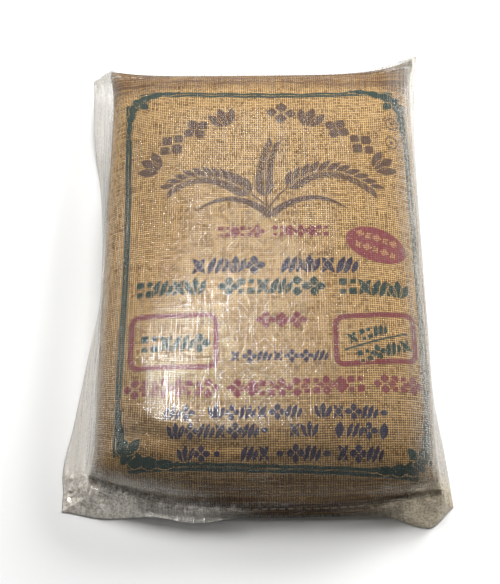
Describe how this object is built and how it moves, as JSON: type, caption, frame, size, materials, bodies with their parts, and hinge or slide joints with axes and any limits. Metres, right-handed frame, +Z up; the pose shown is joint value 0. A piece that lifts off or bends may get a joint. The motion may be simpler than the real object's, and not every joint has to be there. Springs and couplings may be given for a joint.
{
  "type": "sack of rice in a clear bag",
  "caption": "Shut jute sack of rice with flat end seams and four ears, lying printed face up inside a loose clear plastic bag.",
  "frame": {"origin": "centre of the footprint, on the surface that the bag lies on", "axes": "+X to the right of the printed face, +Y from the near end with the bag's mouth to the far sealed end, +Z up out of the printed face"},
  "size_m": [0.4868, 0.6696, 0.1188],
  "materials": {
    "jute": "coarse plain-weave jute with a print in dark green, maroon, navy and brown",
    "clear_film": "thin crumpled clear plastic film, hazy in the loose skirts, with sharp bright creases"
  },
  "bodies": {
    "root": {"jute_sack": "jute", "clear_bag": "clear_film"}
  },
  "joints": []
}
